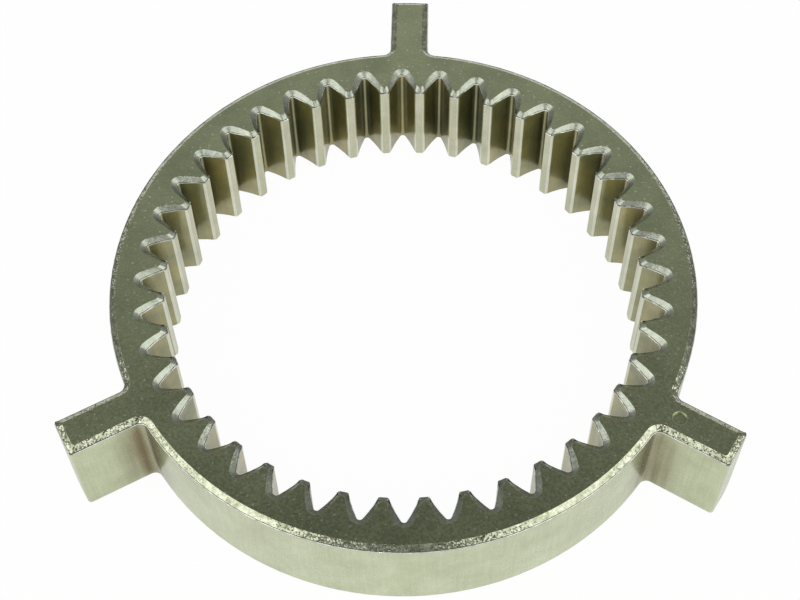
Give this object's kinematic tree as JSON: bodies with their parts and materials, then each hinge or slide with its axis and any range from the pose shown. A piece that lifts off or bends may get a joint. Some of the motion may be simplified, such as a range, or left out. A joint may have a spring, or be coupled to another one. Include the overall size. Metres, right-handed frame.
{
  "type": "internal ring gear",
  "caption": "Sintered steel ring with involute internal teeth, chamfered edges and radial lugs on its outside that key it in a gear housing.",
  "frame": {"origin": "centre of the toothed bore, in the plane of the plain lower face", "axes": "+Z along the gear axis towards the marked upper face, +Y out through one lug, and the marked lug at 330 degrees"},
  "size_m": [0.0786, 0.0795, 0.0133],
  "materials": {
    "sintered_steel": "satin, as sintered"
  },
  "bodies": {
    "root": {"ring_gear": "sintered_steel"}
  },
  "joints": []
}
